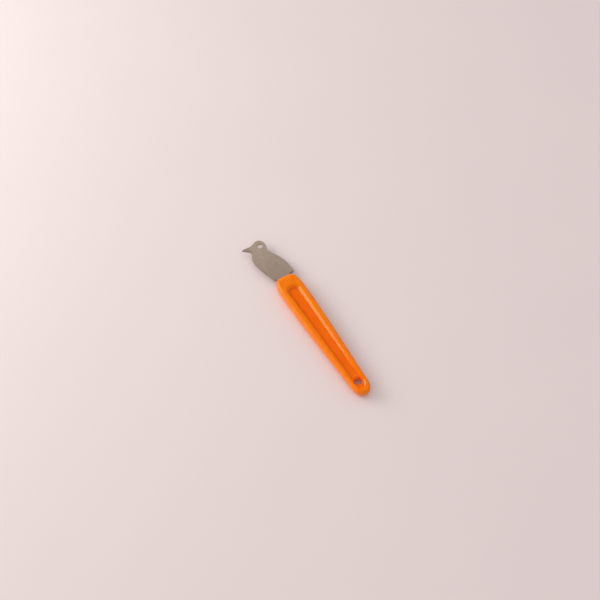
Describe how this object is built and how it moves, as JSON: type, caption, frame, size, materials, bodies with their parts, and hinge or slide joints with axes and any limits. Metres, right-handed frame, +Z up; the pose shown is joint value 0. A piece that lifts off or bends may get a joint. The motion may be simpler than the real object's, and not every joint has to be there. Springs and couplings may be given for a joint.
{
  "type": "deburring tool",
  "caption": "Flat hand tool: a stamped steel blade with a hooked beak, round head and eye hole, moulded into a tapered plastic handle with recessed faces and a hang hole.",
  "frame": {"origin": "on the hang hole's axis, at mid thickness", "axes": "+X along the handle towards the blade, +Y towards the side the beak points to, +Z up through the thickness, along the hang hole's axis"},
  "size_m": [0.1559, 0.025, 0.009],
  "materials": {
    "handle_plastic": "moulded orange plastic, semi-gloss",
    "blade_steel": "flat rolled steel, satin, square stamped edges"
  },
  "bodies": {
    "root": {"handle": "handle_plastic", "blade": "blade_steel"}
  },
  "joints": []
}
